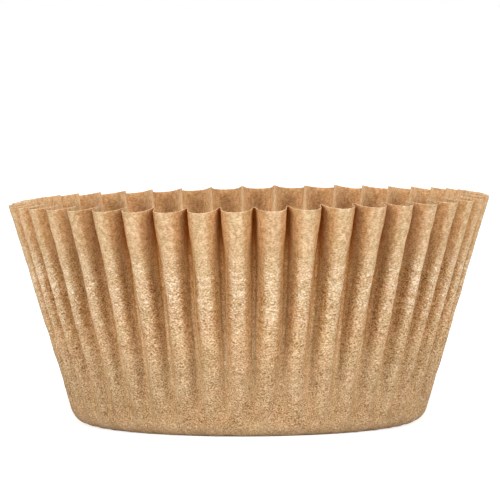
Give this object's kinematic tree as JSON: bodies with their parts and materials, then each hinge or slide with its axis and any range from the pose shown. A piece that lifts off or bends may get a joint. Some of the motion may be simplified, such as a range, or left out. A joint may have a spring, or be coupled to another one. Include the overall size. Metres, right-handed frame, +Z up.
{
  "type": "cupcake liner",
  "caption": "Pleated paper baking cup with a flat round floor, pressed from one disc of brown greaseproof paper, open at the top to hold one cupcake.",
  "frame": {"origin": "centre of the underside of the flat floor", "axes": "+Z is up along the cup's axis, out of the open mouth; one crease between two pleats lies on -Y, and pleat crests lie on +X and -X"},
  "size_m": [0.0684, 0.0682, 0.0322],
  "materials": {
    "brown_paper": "matt unbleached greaseproof paper, mottled with fibre, lightly rubbed on the pleat crests"
  },
  "bodies": {
    "root": {"liner": "brown_paper"}
  },
  "joints": []
}
